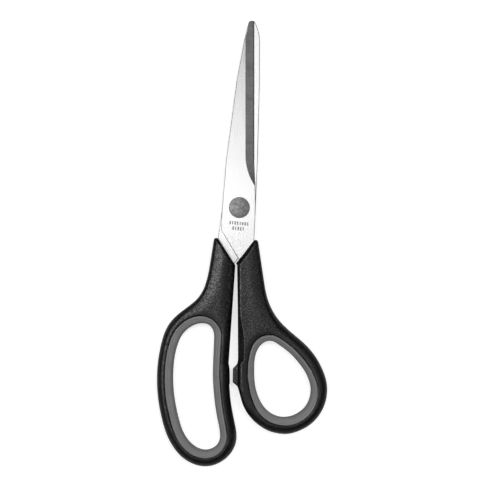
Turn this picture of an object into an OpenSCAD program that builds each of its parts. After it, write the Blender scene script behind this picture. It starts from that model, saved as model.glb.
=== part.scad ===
// Right-handed fabric shears with soft-lined handles, lying flat and all but closed.
// Origin: the pivot axis on the resting plane. +Y runs to the blade tips, +Z is up.
// The finger handle carries the lower blade; the thumb handle carries the upper blade.

/* [Blades] */
// Thickness of each blade blank
blade_t = 2; // [1.6:0.1:2.4]
// Running gap between the two blades
blade_gap = 0.1; // [0.06:0.02:0.2]
// Width of the ground bevel along each cutting edge
bevel_w = 4.8; // [3.5:0.1:5.5]
// Width of the finer second bevel at the edge itself
honed_w = 0.7; // [0.4:0.1:1]
// Steel left standing at the cutting edge
edge_land = 0.25; // [0.15:0.05:0.4]
// Turn of the lower cutting edge from the upper one
edge_splay = 9.05; // [8:0.05:10]

/* [Pivot] */
// Radius of the screw's plain shank
shank_r = 3; // [2.8:0.1:3.2]
// Radius of the screw's threaded end
thread_r = 2.3; // [2:0.1:2.5]
// Radius of the domed head
head_r = 5.6; // [5:0.1:6.2]
// Height of the domed head, its rim included
head_h = 1.7; // [1.2:0.1:2.2]
// Height of the head's upright rim
rim_h = 0.8; // [0.4:0.1:1]
// Thickness of the friction washer under the head
friction_t = 0.3; // [0.2:0.05:0.5]
// Radius of the cap nut
nut_r = 4.8; // [4.2:0.1:5]
// Distance between the nut's two wrench flats
nut_flats = 8; // [7.4:0.1:8.2]

/* [Handles] */
// Thickness of both handles, which is the overall thickness
handle_t = 11; // [10:0.5:12]
// Radius of the handles' outer edges
handle_edge = 2; // [1.6:0.2:3]
// Radius of the soft liners' inner edges
grip_edge = 3; // [2:0.2:3.2]
// How far each liner sits below the handle's faces
grip_sink = 0.3; // [0.1:0.1:0.8]
// Height of the stop lug that stands out of the thumb handle
lug_h = 6.6; // [5.5:0.2:8]
// Radius of the holes that lock each tang in its handle
lock_r = 1.7; // [1.2:0.1:2]

/* [Fits] */
// Radial clearance of the turning blade on the shank
run_fit = 0.05; // [0.02:0.01:0.09]
// Radial clearance of the fixed pivot parts
still_fit = 0.02; // [0.01:0.01:0.04]
// Clearance between mouldings and what they hold
mould_fit = 0.05; // [0.02:0.01:0.1]

/* [Hidden] */

// The blades meet half way up the handles.
mate_z = handle_t / 2;
upper_z = mate_z + blade_gap / 2;
lower_z = mate_z - blade_gap / 2 - blade_t;
upper_top = upper_z + blade_t;
head_z = upper_top + friction_t;

// Where the straight cutting edges start and stop.
tip_y = 100.8;
heel_y = 12;
upper_edge_x = 8.1;
lower_edge_x = -6.9;
// Radius of the arc in which the bevel ends.
runout_r = 30;
// The honed bevel's rise for each millimetre of its width, and the height that it ends at.
honed_slope = 0.45;
honed_z = edge_land + honed_slope * honed_w;

// A curve turns this far, in degrees, between neighbouring points.
turn_step = 4;
// Flat steps in each rounded edge, and steps in the arc of the screw's dome.
edge_steps = 4;
dome_steps = 12;
// Sides of round parts, of the lock holes, and of the cone that ends a bevel.
round_sides = 96;
lock_sides = 48;
cone_sides = 180;

// The spring washer's thickness, and its height with its dish.
spring_t = 0.3;
spring_free = 0.6;
// How far the washers' rims sit inside the nut's and the head's.
spring_inset = 0.3;
friction_inset = 0.4;
// The height of the screw's end, and of the bottom of the nut's bore below it.
thread_z = 0.8;
bore_z = 0.75;
nut_chamfer = 0.4;

// How far a cutting shape reaches past what it cuts.
over = 1;

// The rectangle, seen from above, that holds all of the stop lug.
lug_corner = [-5, -98];
lug_size = [4.25, 15];

upper_locks = [[6, -38], [6.6, -50]];
lower_locks = [[-8.8, -38], [-10.4, -49]];

// ---- Outlines: each point is [x, y, heading], or [x, y, heading in, heading out] at a corner.
// A point of two numbers is a plain corner between straight edges.

function at(a) = [a.x, a.y];
function unit(deg) = [cos(deg), sin(deg)];
function bearing(v) = atan2(v.y, v.x);
function wrap(deg) = deg - 360 * round(deg / 360);
function heading_out(a, chord) = len(a) == 2 ? bearing(chord) : a[len(a) - 1];
function heading_in(a, chord) = len(a) == 2 ? bearing(chord) : a[2];

function bezier(p0, p1, p2, p3, t) =
    pow(1 - t, 3) * p0 + 3 * t * pow(1 - t, 2) * p1 + 3 * t * t * (1 - t) * p2 + t * t * t * p3;

// The stretch from a up to, but not including, b. Its handles are as long as a circular arc needs.
function stretch(a, b) =
    let (
        chord = at(b) - at(a),
        leave = heading_out(a, chord),
        arrive = heading_in(b, chord),
        bend = abs(wrap(leave - bearing(chord))) + abs(wrap(arrive - bearing(chord))),
        steps = max(1, ceil(bend / turn_step)),
        reach = norm(chord) / (3 * pow(cos(bend / 4), 2))
    )
    [for (i = [0:steps - 1])
        bezier(at(a), at(a) + reach * unit(leave), at(b) - reach * unit(arrive), at(b), i / steps)];

function outline(anchors) =
    [for (i = [0:len(anchors) - 1], p = stretch(anchors[i], anchors[(i + 1) % len(anchors)])) p];

upper_blade_line = [
    [upper_edge_x, tip_y], [6.4, tip_y, 180, 180], [4.5, 98, -103],
    [2.6, 90, -101.5], [-1.4, 68.4, -100], [-7.1, 25.3, -96], [-8.9, 4, -94],
    [-9.6, -6, -92], [-9.8, -12.2, -88, -58.8], [-1.1, -26.6],
    [1.4, -31, -73], [3, -40, -86], [3.4, -56, -90],
    [6.8, -59, 0], [10, -56, 90], [9.3, -40, 91], [8.4, -24, 92],
    [8, -17, 90], [8.5, -8, 87], [8.8, 2, 90], [8.6, heel_y, 92], [upper_edge_x, 24, 90]
];

lower_blade_line = [
    [8.2, 100.5, 180], [7.2, 100.2, -128, -99.05], [-7, 11, -99.05, -101],
    [-9.2, 0, -99], [-11.5, -16.5, -98], [-12.5, -24, -96], [-13.2, -40, -92],
    [-13.9, -51, -94], [-10.8, -55, 0], [-7, -51, 90], [-6.2, -40, 86],
    [-4.4, -33.4, 62], [-2.3, -29.7, 60, 53.5], [7.6, -16.4, 53.5, 85],
    [8.7, -4, 86], [9.1, 5, 88], [9.9, 25, 88], [11, 66, 89], [11.1, 86, 91],
    [10.4, 95, 108], [8.8, 99.6, 118]
];

finger_handle_line = [
    [-14, -18.6, -98], [-16, -31.5, -101], [-18.7, -42.5, -111], [-24.6, -51, -138],
    [-31.2, -56, -142], [-38.2, -63.1, -123], [-43, -77.2, -102], [-44.5, -92.5, -90],
    [-42.3, -112, -77], [-37.5, -126.3, -61], [-29.6, -135.8, -36], [-18.3, -139.7, 0],
    [-6.3, -134.6, 44], [-1.4, -124, 88], [-3, -113.6, 101], [-5.1, -99, 92],
    [-5.3, -95.5], [-5.05, -94.9], [-5.15, -86.6], [-5.7, -84.2],
    [-2.1, -31.2], [-11.1, -17, 122], [-12.8, -16.3, 180]
];

thumb_handle_line = [
    [9, -17.4, 180], [7.6, -18, -128], [-1.9, -30.2, -128, -45], [-1.2, -30.9, -45, -90],
    [-0.9, -52], [-0.7, -82], [-1.5, -85, -130], [-3.2, -86.7, -140], [-3.5, -87.3],
    [-3.65, -94.3], [-1.6, -96, -38], [-0.4, -98.4, -73],
    [2.6, -108, -63], [8.6, -115.9, -42], [17.1, -121, -18], [24.5, -122.3, 0],
    [35, -119.3, 27], [43.5, -111.6, 56], [47.5, -98, 90], [45.1, -87.7, 113],
    [40.2, -79, 127], [33.3, -71.7, 139], [28.1, -67.4, 138], [20.8, -60, 126],
    [16.3, -52, 112], [13.8, -42.5, 100], [10.3, -18.8, 98]
];

finger_grip_line = [
    [-20.8, -58.4, 180], [-31.7, -63.1, -137], [-37, -71.4, -111], [-40.1, -93.5, -90],
    [-37.8, -111.1, -76], [-32.9, -125.3, -60], [-26, -132.5, -31], [-18.4, -134.8, 0],
    [-10.1, -131.4, 47], [-6.7, -122.8, 91], [-8.6, -111, 99], [-10.8, -89, 91],
    [-9.6, -69.2, 89], [-13.8, -60.9, 140]
];

finger_opening_line = [
    [-20.2, -62.4, 180], [-26.6, -64.6, -148], [-32.6, -72.2, -112], [-35.7, -92.5, -90],
    [-33.2, -111.8, -76], [-27.5, -125.6, -50], [-18.2, -130.8, 0], [-12.5, -128.5, 42],
    [-10.4, -122.5, 90], [-12.4, -111.2, 99], [-14.4, -88.5, 90], [-13.6, -69.5, 89],
    [-15.7, -63.9, 135]
];

thumb_grip_line = [
    [16.3, -68.6, 180], [9.4, -71.3, -137], [5.3, -80.3, -102], [4.6, -88, -90],
    [6.1, -100.2, -75], [9.9, -109.4, -57], [17.6, -115.8, -23], [25, -117.2, 0],
    [36.3, -112.7, 40], [42.2, -99.6, 90], [39.7, -89.7, 115], [34.3, -81.3, 129],
    [25.2, -72.7, 144]
];

thumb_opening_line = [
    [16.4, -71.9, 180], [10.5, -75.6, -123], [8.1, -88, -90], [9.7, -100.5, -71],
    [14.9, -109.3, -43], [24, -113.1, 0], [33.7, -109.4, 40], [38.5, -98.2, 90],
    [36.4, -90.6, 114], [30.7, -82.2, 130], [23.1, -75.3, 146]
];

// ---- Shared shapes

module plate(anchors, z, t) {
    translate([0, 0, z]) linear_extrude(t) polygon(outline(anchors));
}

// What a grinding wheel takes off a blade whose edge lies along +Y from the origin at z = 0,
// with the blade towards -X. Past the heel the wheel lifts out in an arc.
module bevel_cut(length) {
    // In the XZ plane: from the bevel's upper border down to the land and out past the edge.
    profile = [
        [-bevel_w, blade_t], [-honed_w, honed_z], [0, edge_land], [over, edge_land],
        [over, blade_t + over], [-bevel_w, blade_t + over]
    ];
    rise = sqrt(pow(runout_r, 2) - pow(runout_r - bevel_w, 2));
    translate([0, rise, 0]) rotate([90, 0, 0]) mirror([0, 0, 1])
        linear_extrude(length - rise + over) polygon(profile);
    intersection() {
        translate([runout_r - bevel_w, rise, 0]) rotate_extrude($fn = cone_sides) polygon([
            [0, edge_land], [runout_r - bevel_w, edge_land], [runout_r - bevel_w + honed_w, honed_z],
            [runout_r, blade_t], [runout_r, blade_t + over], [0, blade_t + over]
        ]);
        translate([-bevel_w, -over, 0]) cube([bevel_w + over, rise + over, blade_t + 2 * over]);
    }
}

module lock_holes(places, r, z, t) {
    for (p = places) translate([p.x, p.y, z]) cylinder(r = r, h = t, $fn = lock_sides);
}

module pivot_hole(r, z, t) {
    translate([0, 0, z - over]) cylinder(r = r, h = t + 2 * over, $fn = round_sides);
}

// A slab whose edges are rounded in flat steps. Each step is nearer the middle and reaches wider.
function step_depth(radius, i) = radius * (1 - cos(90 * i / edge_steps));
function step_inset(radius, i) = radius * (1 - sin(90 * (i + 0.5) / edge_steps));

module rounded_slab(anchors, radius) {
    for (i = [0:edge_steps - 1])
        translate([0, 0, step_depth(radius, i)])
            linear_extrude(handle_t - 2 * step_depth(radius, i))
                offset(delta = -step_inset(radius, i)) polygon(outline(anchors));
}

// The hole that takes the soft liner, straight through the handle.
module liner_hole(anchors) {
    translate([0, 0, -over]) linear_extrude(handle_t + 2 * over)
        offset(delta = mould_fit) polygon(outline(anchors));
}

// The room that the moulding leaves for a blade's tang, with a peg through each lock hole.
module tang_pocket(anchors, z, locks) {
    difference() {
        translate([0, 0, z - mould_fit]) linear_extrude(blade_t + 2 * mould_fit)
            offset(delta = mould_fit) polygon(outline(anchors));
        lock_holes(locks, lock_r - mould_fit, z - over, blade_t + 2 * over);
    }
}

module handle(anchors, liner, tang, tang_z, locks) {
    difference() {
        rounded_slab(anchors, handle_edge);
        liner_hole(liner);
        tang_pocket(tang, tang_z, locks);
    }
}

// A soft ring: straight against the handle, rounded in steps towards the fingers.
module grip(outer, opening) {
    grip_t = handle_t - 2 * grip_sink;
    for (i = [0:edge_steps - 1])
        translate([0, 0, grip_sink + step_depth(grip_edge, i)])
            linear_extrude(grip_t - 2 * step_depth(grip_edge, i)) difference() {
                polygon(outline(outer));
                offset(delta = step_inset(grip_edge, i)) polygon(outline(opening));
            }
}

// ---- Sub-parts

module upper_blade() {
    color("gainsboro") difference() {
        plate(upper_blade_line, upper_z, blade_t);
        translate([upper_edge_x, heel_y, upper_z]) bevel_cut(tip_y - heel_y);
        pivot_hole(shank_r + run_fit, upper_z, blade_t);
        lock_holes(upper_locks, lock_r, upper_z - over, blade_t + 2 * over);
    }
}

module lower_blade() {
    color("silver") difference() {
        plate(lower_blade_line, lower_z, blade_t);
        translate([lower_edge_x, heel_y, lower_z + blade_t]) rotate([0, 0, -edge_splay])
            mirror([1, 0, 0]) mirror([0, 0, 1]) bevel_cut(tip_y - heel_y);
        pivot_hole(shank_r + still_fit, lower_z, blade_t);
        lock_holes(lower_locks, lock_r, lower_z - over, blade_t + 2 * over);
    }
}

// A low dome on a shouldered shank. The dome is an arc through its rim and its crown.
module pivot_screw() {
    dome_h = head_h - rim_h;
    dome_r = (pow(head_r, 2) + pow(dome_h, 2)) / (2 * dome_h);
    arc = asin(head_r / dome_r);
    shoulder_z = lower_z + blade_gap;
    color("gray") rotate_extrude($fn = round_sides) polygon(concat(
        [[0, thread_z], [thread_r, thread_z], [thread_r, shoulder_z], [shank_r, shoulder_z],
         [shank_r, head_z], [head_r, head_z]],
        [for (i = [0:dome_steps]) let (a = arc * (1 - i / dome_steps))
            [dome_r * sin(a), head_z + head_h - dome_r * (1 - cos(a))]]
    ));
}

module friction_washer() {
    color("white") translate([0, 0, upper_top]) difference() {
        cylinder(r = head_r - friction_inset, h = friction_t, $fn = round_sides);
        translate([0, 0, -over])
            cylinder(r = shank_r + still_fit, h = friction_t + 2 * over, $fn = round_sides);
    }
}

// A dished washer between the lower blade and the nut, which keeps the pivot tight.
module spring_washer() {
    inner = thread_r + spring_inset;
    outer = nut_r - spring_inset;
    dish = spring_free - spring_t;
    color("darkgray") rotate_extrude($fn = round_sides) polygon([
        [inner, lower_z], [inner, lower_z - spring_t],
        [outer, lower_z - spring_t - dish], [outer, lower_z - dish]
    ]);
}

// A blind nut with two wrench flats. Its flat underside lies on the resting plane.
module cap_nut() {
    nut_h = lower_z - spring_free;
    color("dimgray") difference() {
        intersection() {
            union() {
                cylinder(r1 = nut_r - nut_chamfer, r2 = nut_r, h = nut_chamfer, $fn = round_sides);
                translate([0, 0, nut_chamfer])
                    cylinder(r = nut_r, h = nut_h - nut_chamfer, $fn = round_sides);
            }
            translate([-nut_flats / 2, -nut_r, 0]) cube([nut_flats, 2 * nut_r, nut_h]);
        }
        translate([0, 0, bore_z]) cylinder(r = thread_r + still_fit, h = nut_h, $fn = round_sides);
    }
}

module finger_handle() {
    color("#1c1c1c") handle(finger_handle_line, finger_grip_line, lower_blade_line, lower_z, lower_locks);
}

// Its stop lug is lower than the rest, and meets the finger handle when the shears are shut.
module thumb_handle() {
    color("#1c1c1c") difference() {
        handle(thumb_handle_line, thumb_grip_line, upper_blade_line, upper_z, upper_locks);
        translate([lug_corner.x, lug_corner.y, lug_h]) cube([lug_size.x, lug_size.y, handle_t]);
    }
}

module finger_grip() {
    color("#707070") grip(finger_grip_line, finger_opening_line);
}

module thumb_grip() {
    color("#707070") grip(thumb_grip_line, thumb_opening_line);
}

upper_blade();
lower_blade();
pivot_screw();
friction_washer();
spring_washer();
cap_nut();
finger_handle();
finger_grip();
thumb_handle();
thumb_grip();
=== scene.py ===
"""The looks of a pair of fabric shears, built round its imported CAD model.

The mouldings and the liners are implicit solids whose plans are cut from the CAD nodes, so they
always fit them. The blades, the nut and the washers are the CAD solids with their edges eased, and
the screw is turned from a profile whose main sizes are read off its own node.
"""
import math

import bmesh
import bpy
import numpy as np
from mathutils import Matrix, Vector


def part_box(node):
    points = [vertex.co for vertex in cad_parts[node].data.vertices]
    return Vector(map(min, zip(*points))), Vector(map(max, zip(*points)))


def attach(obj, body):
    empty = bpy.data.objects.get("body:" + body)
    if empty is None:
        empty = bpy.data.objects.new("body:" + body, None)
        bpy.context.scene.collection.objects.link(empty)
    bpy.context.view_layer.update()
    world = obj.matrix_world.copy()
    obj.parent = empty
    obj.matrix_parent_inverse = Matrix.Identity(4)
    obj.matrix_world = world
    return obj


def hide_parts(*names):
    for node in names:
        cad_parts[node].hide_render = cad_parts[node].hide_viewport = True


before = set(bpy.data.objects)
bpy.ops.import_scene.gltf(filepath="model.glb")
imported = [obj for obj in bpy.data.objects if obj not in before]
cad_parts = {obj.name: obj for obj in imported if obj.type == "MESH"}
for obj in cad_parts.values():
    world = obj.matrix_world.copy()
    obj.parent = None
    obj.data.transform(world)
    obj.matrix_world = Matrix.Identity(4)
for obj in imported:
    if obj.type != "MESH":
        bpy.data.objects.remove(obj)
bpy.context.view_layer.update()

MM = 0.001

# Heights in millimetres at which the CAD nodes are cut for their plans. They miss the tangs.
LOW_CUT = 2.5
HIGH_CUT = 8.5

# The implicit solids' grid, in millimetres.
GRID = 0.4
LINER_GRID = 0.34
MARGIN = 1.2

# A plan's point is dropped where the plan turns by less than this many degrees.
STRAIGHT = 0.2
# A point this near a line, in millimetres, lies on it.
ON_LINE = 0.2

# A handle's longest edge above the first height on the page faces the other blade's tang, and its
# longest edge above the second one faces the gap between the handles.
TANG_EDGE_Y = -32
GAP_EDGE_Y = -90
# The cut on the gap's edge gets deeper between these distances below the pivot.
RING_CUT_START = 56
RING_CUT_END = 72

# How far a handle's top drops at its hole, and how far from the hole that begins.
HOLE_DROP = 0.3
HOLE_REACH = 4
MOUTH_RADIUS = 0.35
# The underside drops by this share of the top's drop.
UNDERSIDE_SHARE = 0.25
# A handle has a stop lug where its lower plan is larger than its upper one by more than this area.
LEAST_LUG_AREA = 1

# What eased_solid goes by: the degrees of turn below which two faces are one face and above which
# an edge is a corner, the height of a cutting edge's land and the length of an edge too short to
# keep, in millimetres, and how upright the normals of side faces, bevels and level faces are.
ONE_FACE = 0.5
CORNER = 40
LAND_HEIGHT = 0.5
SHORTEST_EDGE = 0.02
SIDE_NORMAL = 0.1
BEVEL_NORMAL = 0.5
LEVEL_NORMAL = 0.99

# The etched mark: the pitch of its strokes, how far a row falls for each millimetre towards +X,
# each row's number of strokes and its middle, and half of a first, second and third stroke's size.
MARK_PITCH = 1.35
MARK_FALL = 0.09
MARK_ROWS = ((8, -0.2, -8.5), (5, -0.6, -11.3))
MARK_STROKES = ((0.42, 1.15), (0.32, 1.1), (0.48, 1.0))

# What the camera takes in at the height of the front blade, in millimetres: width and middle.
PICTURE_WIDTH = 258.6
PICTURE_MIDDLE = (0.38, -17.5)


# ---- Plans taken from the CAD nodes, in millimetres

def cut(node, height):
    """Where the plane at a height cuts a CAD node: segments as an array [segment, end, x and y]."""
    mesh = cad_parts[node].data
    mesh.calc_loop_triangles()
    points = np.array([v.co[:] for v in mesh.vertices]) / MM
    corners = points[np.array([t.vertices[:] for t in mesh.loop_triangles])]
    above = corners[:, :, 2] > height
    crossed = above.any(1) & ~above.all(1)
    corners, above = corners[crossed], above[crossed]
    # Each triangle's corner that is alone on its side of the plane.
    lone = np.argmax(above == (above.sum(1) == 1)[:, None], axis=1)
    rows = np.arange(len(corners))
    start = corners[rows, lone]
    ends = []
    for step in (1, 2):
        end = corners[rows, (lone + step) % 3]
        share = (height - start[:, 2]) / (end[:, 2] - start[:, 2])
        ends.append((start + (end - start) * share[:, None])[:, :2])
    return np.stack(ends, 1)


def area(loop):
    following = np.roll(loop, -1, 0)
    return 0.5 * np.sum(loop[:, 0] * following[:, 1] - following[:, 0] * loop[:, 1])


def turns(loop):
    """How far, in degrees, the loop turns at each point."""
    arrive = loop - np.roll(loop, 1, 0)
    leave = np.roll(loop, -1, 0) - loop
    cross = arrive[:, 0] * leave[:, 1] - arrive[:, 1] * leave[:, 0]
    return np.degrees(np.arctan2(cross, (arrive * leave).sum(1)))


def plans(node, height):
    """The closed loops in which that plane cuts a CAD node, anticlockwise, the largest first."""
    ends = cut(node, height).reshape(-1, 2)
    own = np.arange(len(ends))
    gap = np.linalg.norm(ends[:, None] - ends[None], axis=2)
    gap[own, own] = np.inf
    gap[own, own ^ 1] = np.inf
    partner = gap.argmin(1)
    found = []
    left = set(range(len(ends) // 2))
    while left:
        loop = []
        end = 2 * min(left)
        while end // 2 in left:
            left.remove(end // 2)
            loop.append(ends[end])
            end = int(partner[end ^ 1])
        loop = np.array(loop)
        loop = loop[np.abs(turns(loop)) > STRAIGHT]
        found.append(loop if area(loop) > 0 else loop[::-1])
    return sorted(found, key=area, reverse=True)


def eased(loop, passes=2, crease=15):
    """The loop with its slight turns rounded off, and its corners kept. Each pass cuts a slight
    turn off a quarter of the way along both of its edges."""
    for _ in range(passes):
        keep = np.abs(turns(loop)) > crease
        made = []
        for i, point in enumerate(loop):
            if keep[i]:
                made.append(point)
            else:
                made.append(point + (loop[i - 1] - point) / 4)
                made.append(point + (loop[(i + 1) % len(loop)] - point) / 4)
        loop = np.array(made)
    return loop


def longest_edge(loop, lowest_y):
    """The two ends of the loop's longest edge above a height on the page."""
    following = np.roll(loop, -1, 0)
    length = np.linalg.norm(following - loop, axis=1)
    length[(loop[:, 1] < lowest_y) | (following[:, 1] < lowest_y)] = 0
    i = length.argmax()
    return loop[i], following[i]


def off_line(point, start, end):
    """How far a point is from the line through two others."""
    run = end - start
    cross = run[0] * (point[1] - start[1]) - run[1] * (point[0] - start[0])
    return abs(cross) / math.hypot(*run)


# ---- Implicit solids, in millimetres: a field is negative inside

class Grid:
    """Evenly spaced points round a CAD node."""

    def __init__(self, node, step):
        low, high = (np.array(corner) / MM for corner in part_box(node))
        self.low = low - MARGIN
        self.step = step
        counts = np.ceil((high + MARGIN - self.low) / step).astype(int) + 1
        x, y, z = (self.low[i] + step * np.arange(counts[i]) for i in range(3))
        self.x = x[:, None, None]
        self.y = y[None, :, None]
        self.z = z[None, None, :]

    def distance(self, loop, left_out=None):
        """Distance in plan from a closed loop, negative inside it. The loop's edges that lie along
        a line from left_out's first point to its second can be left out of the reckoning."""
        x, y = self.x[:, :, 0], self.y[:, :, 0]
        nearest = np.full((x.size, y.size), np.inf)
        inside = np.zeros((x.size, y.size), bool)
        for a, b in zip(loop, np.roll(loop, -1, 0)):
            run = b - a
            if left_out is None or max(off_line(a, *left_out), off_line(b, *left_out)) > ON_LINE:
                share = ((x - a[0]) * run[0] + (y - a[1]) * run[1]) / (run @ run)
                share = np.clip(share, 0, 1)
                away = (x - a[0] - share * run[0]) ** 2 + (y - a[1] - share * run[1]) ** 2
                nearest = np.minimum(nearest, away)
            if a[1] != b[1]:
                inside ^= ((a[1] > y) != (b[1] > y)) & (x < a[0] + run[0] * (y - a[1]) / run[1])
        distance = np.sqrt(nearest)
        return np.where(inside, -distance, distance)[:, :, None]

    def past_line(self, a, b):
        """Distance in plan to the left of the line from a to b."""
        run = (b - a) / np.linalg.norm(b - a)
        return run[0] * (self.y - a[1]) - run[1] * (self.x - a[0])

    def surface(self, field):
        """Vertices and quads where the field changes sign: one vertex in each cell that it crosses."""
        cells = tuple(n - 1 for n in field.shape)
        total = np.zeros(cells + (3,))
        crossings = np.zeros(cells)
        for axis in range(3):
            across, along = [i for i in range(3) if i != axis], np.eye(3)[axis]
            for first in (0, 1):
                for second in (0, 1):
                    corner = np.zeros(3, int)
                    corner[across[0]], corner[across[1]] = first, second
                    near = field[tuple(slice(c, c + n) for c, n in zip(corner, cells))]
                    far_corner = corner + along.astype(int)
                    far = field[tuple(slice(c, c + n) for c, n in zip(far_corner, cells))]
                    hit = (near < 0) != (far < 0)
                    share = near[hit] / (near[hit] - far[hit])
                    total[hit] += corner + share[:, None] * along
                    crossings += hit
        used = crossings > 0
        where = np.argwhere(used)
        vertices = self.low + self.step * (where + total[used] / crossings[used][:, None])
        number = np.full(cells, -1)
        number[used] = np.arange(len(where))
        quads = []
        for axis in range(3):
            b, c = (axis + 1) % 3, (axis + 2) % 3
            near = np.take(field, range(field.shape[axis] - 1), axis) < 0
            far = np.take(field, range(1, field.shape[axis]), axis) < 0
            edge = np.argwhere(near != far)
            edge = edge[(edge[:, b] > 0) & (edge[:, c] > 0)]
            edge = edge[(edge[:, b] < field.shape[b] - 1) & (edge[:, c] < field.shape[c] - 1)]
            ring = []
            for back_b, back_c in ((1, 1), (0, 1), (0, 0), (1, 0)):
                cell = edge.copy()
                cell[:, b] -= back_b
                cell[:, c] -= back_c
                ring.append(number[tuple(cell.T)])
            ring = np.stack(ring, 1)
            outward = near[tuple(edge.T)]
            quads.append(np.where(outward[:, None], ring, ring[:, ::-1]))
        return vertices, np.concatenate(quads)


def slab(distance, z, low, high, radius):
    """Field of a slab between two heights whose plan has that distance, its edges rounded."""
    middle, half = (low + high) / 2, (high - low) / 2
    outward = distance + radius
    upward = np.abs(z - middle) - half + radius
    beyond = np.hypot(np.maximum(outward, 0), np.maximum(upward, 0))
    return np.minimum(np.maximum(outward, upward), 0) + beyond - radius


def ease(value, start, end):
    """From 0 at start to 1 at end, smoothly."""
    share = np.clip((value - start) / (end - start), 0, 1)
    return share * share * (3 - 2 * share)


# ---- Pieces

def add(name, data):
    made = bpy.data.objects.new(name, data)
    bpy.context.scene.collection.objects.link(made)
    return made


def place(piece, body, node, materials):
    """The piece rides a body, in place of a CAD node if there is one."""
    for material in materials:
        piece.data.materials.append(material)
    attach(piece, body)
    if node:
        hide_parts(node)


def make_piece(name, vertices, faces, body, node, material):
    """A smooth piece from vertices in millimetres."""
    mesh = bpy.data.meshes.new(name)
    mesh.from_pydata((np.asarray(vertices) * MM).tolist(), [], np.asarray(faces).tolist())
    mesh.validate()
    mesh.shade_smooth()
    place(add(name, mesh), body, node, [material])
    return mesh


def moulding(name, node, body, material, edge, crown, crown_reach, tang_cut, gap_cut, ring_cut):
    """A hard moulded handle. Over the plan, edge(grid) is the radius of its rounded edges, and
    crown(grid) is how far its top falls away towards them. Each cut is a width and a depth: one on
    the edge that faces the other blade's tang, one on the edge that faces the gap. Beside the ring
    the second one is deeper by ring_cut."""
    grid = Grid(node, GRID)
    lower_plan, hole = plans(node, LOW_CUT)[:2]
    upper_plan = plans(node, HIGH_CUT)[0]
    outer = grid.distance(eased(upper_plan))
    bottom, top = (corner.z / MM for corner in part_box(node))
    from_hole = grid.distance(eased(hole))
    # The top stays level up to the edge that faces the other blade's tang.
    tang_edge = longest_edge(upper_plan, TANG_EDGE_Y)
    from_side = -grid.distance(eased(upper_plan), left_out=tang_edge)
    drop = crown(grid) * (1 - np.clip(from_side / crown_reach, 0, 1)) ** 2
    drop = drop + HOLE_DROP * (1 - np.clip(from_hole / HOLE_REACH, 0, 1)) ** 2
    field = slab(outer, grid.z, bottom + UNDERSIDE_SHARE * drop, top - drop, edge(grid))
    if area(lower_plan) > area(upper_plan) + LEAST_LUG_AREA:
        field = np.minimum(field, stop_lug(grid, node, lower_plan))
    below_top = (top - bottom) / 2 - np.abs(grid.z - (bottom + top) / 2)
    gap_edge = longest_edge(upper_plan, GAP_EDGE_Y)
    for (start, end), (width, depth), deeper in (
            (tang_edge, tang_cut, 0), (gap_edge, gap_cut, ring_cut)):
        # The cut fades out below the edge, where the handle widens again.
        inward = grid.past_line(start, end) + np.maximum(min(start[1], end[1]) - grid.y, 0)
        slope = depth / width
        depth = depth + deeper * ease(-grid.y, RING_CUT_START, RING_CUT_END)
        cut_off = (depth - below_top - inward * slope) / math.hypot(1, slope)
        field = np.maximum(field, cut_off)
    # The mouth of the hole that holds the liner.
    field = np.maximum(field, slab(-from_hole, grid.z, bottom, top, MOUTH_RADIUS))
    vertices, quads = grid.surface(field)
    make_piece(name, vertices, quads, body, node, material)


def stop_lug(grid, node, lower_plan):
    """Field of the lug, which reaches furthest towards -X and stands above the CAD's underside."""
    foot, radius, tip_length = 1.5, 0.5, 0.6
    tip = (lower_plan[:, 0].min() + tip_length) * MM
    top = max(v.co.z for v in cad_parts[node].data.vertices if v.co.x < tip) / MM
    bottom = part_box(node)[0].z / MM
    return slab(grid.distance(eased(lower_plan)), grid.z, bottom + foot, top, radius)


def liner(name, node, body, material):
    """A soft ring: a raised lip against the handle, a step, and a round inner edge."""
    step_depth, step_start, step_end = 0.35, 1.0, 1.5
    lip_radius, inner_radius = 0.3, 3.0
    grid = Grid(node, LINER_GRID)
    outline, opening = plans(node, (LOW_CUT + HIGH_CUT) / 2)[:2]
    outer = grid.distance(eased(outline))
    inner = -grid.distance(eased(opening))
    bottom, top = (corner.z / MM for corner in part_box(node))
    step = step_depth * ease(-outer, step_start, step_end)
    lip = slab(outer, grid.z, bottom + step, top - step, lip_radius)
    rounded = slab(inner, grid.z, bottom + step, top - step, inner_radius)
    vertices, quads = grid.surface(np.maximum(lip, rounded))
    make_piece(name, vertices, quads, body, node, material)


def eased_solid(name, node, body, materials, width):
    """The CAD node's own solid with its edges broken. Slanting faces take the last material."""
    work = bmesh.new()
    work.from_mesh(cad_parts[node].data)
    bmesh.ops.remove_doubles(work, verts=work.verts, dist=0.001 * MM)
    bmesh.ops.dissolve_limit(
        work, angle_limit=math.radians(ONE_FACE), verts=work.verts, edges=work.edges)
    # The thin land along a cutting edge stays sharp.
    sharp = {edge for face in work.faces if is_land(face) for edge in face.edges}
    corners = [
        edge for edge in work.edges
        if edge not in sharp and len(edge.link_faces) == 2
        and edge.calc_face_angle() > math.radians(CORNER)]
    made = bmesh.ops.bevel(
        work, geom=corners, offset=width * MM, segments=2, profile=0.6, affect="EDGES",
        clamp_overlap=False)
    rounded = set(made["faces"])
    for face in work.faces:
        face.smooth = face in rounded or abs(face.normal.z) < SIDE_NORMAL
        slanting = BEVEL_NORMAL < abs(face.normal.z) < LEVEL_NORMAL and face not in rounded
        face.material_index = len(materials) - 1 if slanting else 0
    bmesh.ops.triangulate(work, faces=work.faces)
    bmesh.ops.dissolve_degenerate(work, dist=SHORTEST_EDGE * MM, edges=work.edges)
    mesh = bpy.data.meshes.new(name)
    work.to_mesh(mesh)
    work.free()
    place(add(name, mesh), body, node, materials)


def is_land(face):
    heights = [vertex.co.z for vertex in face.verts]
    return max(heights) - min(heights) < LAND_HEIGHT * MM and abs(face.normal.z) < SIDE_NORMAL


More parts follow.
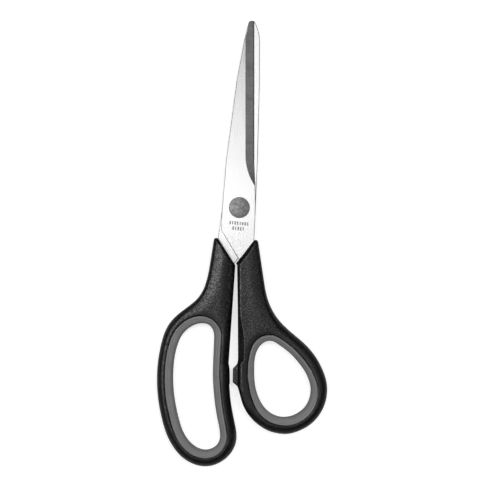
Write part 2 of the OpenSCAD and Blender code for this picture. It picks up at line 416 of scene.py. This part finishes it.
def radius_at(node, height):
    return float(np.linalg.norm(plans(node, height)[0], axis=1).max())


def turned(name, profile, body, node, material, sides=128):
    """A solid of revolution about the pivot axis. The profile is [radius, height] from pole to pole."""
    crease = 35
    profile = np.array(profile)
    ring = profile[1:-1]
    angles = 2 * math.pi * np.arange(sides) / sides
    vertices = [[r * math.cos(a), r * math.sin(a), z] for r, z in ring for a in angles]
    vertices += [[0, 0, profile[0][1]], [0, 0, profile[-1][1]]]
    start, end = len(vertices) - 2, len(vertices) - 1
    faces = []
    for i in range(sides):
        j = (i + 1) % sides
        for row in range(len(ring) - 1):
            below, above = row * sides, (row + 1) * sides
            faces.append([below + i, below + j, above + j, above + i])
        faces.append([start, j, i])
        faces.append([end, (len(ring) - 1) * sides + i, (len(ring) - 1) * sides + j])
    mesh = bpy.data.meshes.new(name)
    mesh.from_pydata((np.array(vertices) * MM).tolist(), [], faces)
    mesh.shade_smooth()
    mesh.set_sharp_from_angle(angle=math.radians(crease))
    place(add(name, mesh), body, node, [material])


def screw_profile():
    """The pivot screw: thread, shank and a low dome with a rounded rim."""
    low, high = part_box("pivot_screw")
    bottom, top, head_r = low.z / MM, high.z / MM, high.x / MM
    head_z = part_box("friction_washer")[1].z / MM
    blade_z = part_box("lower_blade")[0].z / MM
    thread_r = radius_at("pivot_screw", (bottom + blade_z) / 2)
    shank_r = radius_at("pivot_screw", blade_z + 1)
    lead, pitch, groove, shoulder = 0.3, 0.5, 0.25, 0.1
    profile = [[0, bottom], [thread_r - lead, bottom]]
    z = bottom + lead
    while z + pitch < blade_z:
        profile += [[thread_r - groove, z], [thread_r, z + pitch / 2]]
        z += pitch
    profile += [
        [thread_r - groove, blade_z], [shank_r, blade_z + shoulder], [shank_r, head_z]]
    under_edge, rim = 0.12, 1.0
    profile += [[head_r - under_edge, head_z], [head_r, head_z + under_edge]]
    dome_h = top - head_z - rim
    dome_r = (head_r ** 2 + dome_h ** 2) / (2 * dome_h)
    edge_angle = math.asin(head_r / dome_r)
    # The rim's round runs from upright to the slope that the dome has there. Its centre is a share
    # of its radius below the top of the rim.
    round_r, round_steps, centre_share = 0.3, 4, 0.8
    for step in range(round_steps + 1):
        angle = (math.pi / 2 - edge_angle) * step / round_steps
        profile.append([
            head_r - round_r * (1 - math.cos(angle)),
            head_z + rim - round_r * centre_share + round_r * math.sin(angle)])
    start = math.asin((head_r - round_r) / dome_r)
    dome_steps = 14
    for step in range(1, dome_steps + 1):
        angle = start * (1 - step / dome_steps)
        profile.append([dome_r * math.sin(angle), top - dome_r * (1 - math.cos(angle))])
    return profile


def etched_mark(name, body, material):
    """Two short rows of six-sided strokes below the pivot, a mark that stands for nothing."""
    sunk, proud, upper_size, side_share = 0.05, 0.015, 0.9, 0.8
    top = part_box("upper_blade")[1].z / MM
    vertices, faces = [], []
    for count, x0, y0 in MARK_ROWS:
        for i in range(count):
            along = (i - (count - 1) / 2) * MARK_PITCH
            x, y = along + x0, y0 - MARK_FALL * along
            wide, tall = MARK_STROKES[i % len(MARK_STROKES)]
            side = side_share * tall
            rim = [[wide, -side], [wide, side], [0, tall], [-wide, side], [-wide, -side], [0, -tall]]
            lower = [len(vertices) + k for k in range(len(rim))]
            upper = [k + len(rim) for k in lower]
            for size, z in ((1, top - sunk), (upper_size, top + proud)):
                vertices += [[x + size * dx, y + size * dy, z] for dx, dy in rim]
            faces += [[lower[k - 1], lower[k], upper[k], upper[k - 1]] for k in range(len(rim))]
            for cap in (upper, lower[::-1]):
                faces += [cap[:4], cap[3:] + cap[:1]]
    mesh = make_piece(name, vertices, faces, body, None, material)
    mesh.shade_flat()


# ---- Materials

class Shader:
    """A Principled material and short calls for the nodes that drive it."""

    def __init__(self, name, **values):
        self.material = bpy.data.materials.new(name)
        self.material.use_nodes = True
        self.tree = self.material.node_tree
        self.surface = self.tree.nodes["Principled BSDF"]
        for socket, value in values.items():
            self.surface.inputs[socket.replace("_", " ")].default_value = value
        self.place = self.tree.nodes.new("ShaderNodeTexCoord").outputs["Object"]

    def node(self, kind, inputs, **settings):
        made = self.tree.nodes.new(kind)
        for key, value in settings.items():
            setattr(made, key, value)
        for key, value in inputs.items():
            if isinstance(value, bpy.types.NodeSocket):
                self.tree.links.new(value, made.inputs[key])
            else:
                made.inputs[key].default_value = value
        return made

    def noise(self, size, detail=3, rough=0.5, stretch=(1, 1, 1)):
        """Noise whose grains are about size millimetres, times stretch along each axis."""
        scale = [1 / (size * MM * s) for s in stretch]
        where = self.node("ShaderNodeMapping", {"Vector": self.place, "Scale": scale})
        made = self.node("ShaderNodeTexNoise", {
            "Vector": where.outputs[0], "Scale": 1, "Detail": detail, "Roughness": rough})
        return made.outputs["Fac"]

    def span(self, value, low, high, start=0.3, end=0.7):
        """From low where the value is at start to high where it is at end."""
        made = self.node("ShaderNodeMapRange", {
            "Value": value, "From Min": start, "From Max": end, "To Min": low, "To Max": high})
        return made.outputs[0]

    def math(self, operation, a, b):
        return self.node("ShaderNodeMath", {0: a, 1: b}, operation=operation).outputs[0]

    def axis(self, name):
        return self.node("ShaderNodeSeparateXYZ", {0: self.place}).outputs[name]

    def grey(self, value):
        made = self.node("ShaderNodeCombineColor", {0: value, 1: value, 2: value})
        return made.outputs[0]

    def drive(self, socket, value):
        self.tree.links.new(value, self.surface.inputs[socket])

    def bump(self, height, depth):
        """Depth is in millimetres."""
        made = self.node("ShaderNodeBump", {
            "Height": height, "Distance": depth * MM, "Strength": 1.0})
        self.drive("Normal", made.outputs[0])


def black_plastic():
    """Spark-eroded mould finish: a fine stipple that catches the light in specks."""
    s = Shader("black_plastic", Specular_IOR_Level=0.38)
    stipple = s.noise(1.1, detail=3, rough=0.7)
    grain = s.noise(0.9, detail=2, rough=0.7)
    s.drive("Base Color", s.grey(s.span(grain, 0.0, 0.02, start=0.5, end=0.62)))
    # The rings are coarser than the shanks.
    coarse = s.span(s.axis("Y"), 0, 0.1, start=-42 * MM, end=-80 * MM)
    s.drive("Roughness", s.math("ADD", coarse, s.span(grain, 0.44, 0.12, start=0.4, end=0.6)))
    s.bump(stipple, 0.12)
    return s.material


def grey_rubber():
    """Soft thermoplastic rubber, matt and a little dusty."""
    s = Shader("grey_rubber", Specular_IOR_Level=0.35)
    grain = s.noise(0.4, detail=2, rough=0.6)
    cloud = s.noise(6, detail=3)
    s.drive("Base Color", s.grey(s.span(cloud, 0.172, 0.195)))
    s.drive("Roughness", s.span(grain, 0.55, 0.72))
    s.bump(grain, 0.025)
    return s.material


def blade_steel(name, bright, ahead_loss, behind_painted_shade):
    """Bright steel ground lengthwise, darker ahead of the pivot, with painted shade behind it."""
    s = Shader(name, Metallic=1.0)
    streaks = s.noise(0.16, detail=4, rough=0.65, stretch=(1, 45, 1))
    threads = s.noise(0.5, detail=3, rough=0.6, stretch=(1, 30, 1))
    along = s.axis("Y")
    ahead = s.span(along, 0, 1, start=8 * MM, end=88 * MM)
    # Painted shade on the tangs, which lie low between the handles.
    behind = s.span(along, 0, 1, start=-6 * MM, end=-27 * MM)
    loss = s.math("ADD", s.math("MULTIPLY", ahead, ahead_loss),
                  s.math("MULTIPLY", behind, behind_painted_shade))
    loss = s.math("MULTIPLY", loss, s.span(threads, 0.75, 1.0))
    ground = s.span(streaks, bright - 0.015, bright + 0.015)
    s.drive("Base Color", s.grey(s.math("SUBTRACT", ground, loss)))
    s.drive("Roughness", s.span(streaks, 0.2, 0.3))
    s.bump(streaks, 0.003)
    return s.material


def ground_steel():
    """The bevels, ground across the blade by a finer wheel."""
    s = Shader("ground_steel", Metallic=1.0)
    scratches = s.noise(0.18, detail=3, rough=0.6, stretch=(14, 1, 1))
    bands = s.noise(4, detail=3, rough=0.6, stretch=(4, 1, 4))
    s.drive("Base Color", s.grey(s.span(bands, 0.45, 0.65)))
    s.drive("Roughness", s.span(scratches, 0.22, 0.34))
    s.bump(scratches, 0.004)
    return s.material


def satin_steel():
    """The pivot's parts: turned, tumbled and plated a dull grey."""
    s = Shader("satin_steel", Metallic=1.0)
    grain = s.noise(1.2, detail=3, rough=0.6)
    cloud = s.noise(1.3, detail=3, rough=0.7)
    s.drive("Base Color", s.grey(s.span(cloud, 0.22, 0.52)))
    s.drive("Roughness", s.span(grain, 0.55, 0.7))
    s.bump(grain, 0.09)
    return s.material


def nylon():
    """The slip washer's milky plastic."""
    s = Shader("nylon", Subsurface_Weight=0.1)
    cloud = s.noise(1.5, detail=2)
    s.drive("Base Color", s.grey(s.span(cloud, 0.68, 0.76)))
    s.drive("Roughness", s.span(cloud, 0.4, 0.5))
    return s.material


def etched_steel():
    """The mark on the front blade, a little darker and duller than the steel round it."""
    s = Shader("etched_steel", Metallic=1.0)
    grain = s.noise(0.25, detail=2)
    s.drive("Base Color", s.grey(s.span(grain, 0.26, 0.44)))
    s.drive("Roughness", s.span(grain, 0.5, 0.65))
    return s.material


# ---- Stage

def make_floor():
    """A pale light table, just below the shears. What the camera sees of it is brighter than what
    the object reflects."""
    clearance = 0.05 * MM
    bpy.ops.mesh.primitive_plane_add(size=6, location=(0, 0, -clearance))
    floor = bpy.context.object
    floor.name = "floor"
    s = Shader("floor", Base_Color=(0.5, 0.5, 0.5, 1), Roughness=0.9, Specular_IOR_Level=0.1,
               Emission_Color=(1, 1, 1, 1))
    seen = s.tree.nodes.new("ShaderNodeLightPath").outputs["Is Camera Ray"]
    s.drive("Emission Strength", s.span(seen, 0.08, 0.69, start=0, end=1))
    floor.data.materials.append(s.material)


# Soft boxes seen as patches of sky: direction, the angles from it at which each is full and ends,
# in degrees, and radiance.
SOFT_BOXES = (
    ((-0.08, 0.1, 1.0), 9, 20, 1.3),
    ((-0.42, 0.1, 1.0), 8, 21, 5.4),
    ((0.5, 0.0, 1.0), 10, 26, 0.33),
)
AMBIENT = 0.04
BACKDROP = 1.0


def make_sky():
    world = bpy.data.worlds.new("studio")
    bpy.context.scene.world = world
    world.use_nodes = True
    nodes, links = world.node_tree.nodes, world.node_tree.links
    direction = nodes.new("ShaderNodeTexCoord").outputs["Generated"]
    total = None
    for axis, full, end, radiance in SOFT_BOXES:
        dot = nodes.new("ShaderNodeVectorMath")
        dot.operation = "DOT_PRODUCT"
        links.new(direction, dot.inputs[0])
        dot.inputs[1].default_value = Vector(axis).normalized()
        patch = nodes.new("ShaderNodeMapRange")
        patch.interpolation_type = "SMOOTHSTEP"
        links.new(dot.outputs["Value"], patch.inputs["Value"])
        patch.inputs["From Min"].default_value = math.cos(math.radians(end))
        patch.inputs["From Max"].default_value = math.cos(math.radians(full))
        patch.inputs["To Min"].default_value = AMBIENT if total is None else 0
        patch.inputs["To Max"].default_value = radiance
        if total is None:
            total = patch.outputs[0]
        else:
            both = nodes.new("ShaderNodeMath")
            links.new(total, both.inputs[0])
            links.new(patch.outputs[0], both.inputs[1])
            total = both.outputs[0]
    # The camera sees a plain pale backdrop behind the floor.
    path = nodes.new("ShaderNodeLightPath")
    seen = nodes.new("ShaderNodeMix")
    links.new(path.outputs["Is Camera Ray"], seen.inputs["Factor"])
    links.new(total, seen.inputs["A"])
    seen.inputs["B"].default_value = BACKDROP
    links.new(seen.outputs[0], nodes["Background"].inputs["Strength"])
    nodes["Background"].inputs["Color"].default_value = (1, 1, 1, 1)


def make_key():
    """A broad light from the upper right. It casts the shadows and isn't mirrored in anything."""
    data = bpy.data.lights.new("key", "SUN")
    data.energy = 1.45
    data.angle = math.radians(22)
    towards = Vector((0.3, 0.32, 1))
    key = add("key", data)
    key.rotation_euler = towards.to_track_quat("Z", "Y").to_euler()
    key.visible_glossy = False


def make_camera():
    """Straight above, far enough away that the two handles' thickness hardly shows."""
    data = bpy.data.cameras.new("camera")
    data.lens = 120
    data.sensor_width = 36
    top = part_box("upper_blade")[1].z
    away = PICTURE_WIDTH * MM * data.lens / data.sensor_width
    x, y = PICTURE_MIDDLE
    camera = add("camera", data)
    camera.location = (x * MM, y * MM, top + away)
    bpy.context.scene.camera = camera


# ---- The shears

FINGER, THUMB = "finger_half", "thumb_half"


def finger_edge(grid):
    """Tight along the shank, and 2 mm rounder at the ring."""
    shank, more_at_ring = 1.8, 2.0
    return shank + more_at_ring * ease(-grid.y, 52, 64)


def finger_crown(grid):
    """High along the shank, lower beside the ring and higher again at its foot."""
    shank, less_at_ring, more_at_foot = 1.6, 1.0, 0.9
    return (shank - less_at_ring * ease(-grid.y, 50, 66)
            + more_at_foot * ease(-grid.y, 112, 128))


def thumb_edge(grid):
    """Nearly sharp at the gap, rounder to the right of it and roundest round the ring."""
    at_gap, more_beyond, more_at_ring, gap_share = 0.5, 1.4, 1.8, 0.25
    beyond = ease(grid.x, 2, 9)
    ring = np.maximum(ease(grid.x, 9, 22), ease(-grid.y, 60, 76) * (1 - gap_share * beyond))
    return at_gap + more_beyond * beyond + more_at_ring * ring


def thumb_crown(grid):
    """Level at the gap, domed to the right of it and more so at the ring's foot."""
    beyond, more_at_foot = 0.9, 0.7
    return beyond * ease(grid.x, 0, 12) + more_at_foot * ease(-grid.y, 98, 112)


make_camera()
make_floor()
make_sky()
make_key()
bpy.context.scene.view_settings.view_transform = "Standard"

plastic, rubber = black_plastic(), grey_rubber()
front_steel = blade_steel("front_steel", 0.625, ahead_loss=0.31, behind_painted_shade=0.08)
back_steel = blade_steel("back_steel", 0.67, ahead_loss=0.11, behind_painted_shade=0.17)
ground = ground_steel()
satin, white, etched = satin_steel(), nylon(), etched_steel()

moulding("finger_moulding", "finger_handle", FINGER, plastic, finger_edge, finger_crown,
         crown_reach=7.5, tang_cut=(1.5, 1.15), gap_cut=(0.6, 0.5), ring_cut=0.5)
moulding("thumb_moulding", "thumb_handle", THUMB, plastic, thumb_edge, thumb_crown,
         crown_reach=9, tang_cut=(2.1, 1.6), gap_cut=(1.5, 0.9), ring_cut=1.2)
liner("finger_liner", "finger_grip", FINGER, rubber)
liner("thumb_liner", "thumb_grip", THUMB, rubber)

eased_solid("front_blade", "upper_blade", THUMB, [front_steel, ground], width=0.34)
eased_solid("back_blade", "lower_blade", FINGER, [back_steel, ground], width=0.34)
turned("screw", screw_profile(), FINGER, "pivot_screw", satin)
eased_solid("nut", "cap_nut", FINGER, [satin], width=0.15)
eased_solid("dished_washer", "spring_washer", FINGER, [satin], width=0.06)
eased_solid("slip_washer", "friction_washer", FINGER, [white], width=0.06)
etched_mark("etched_mark", THUMB, etched)
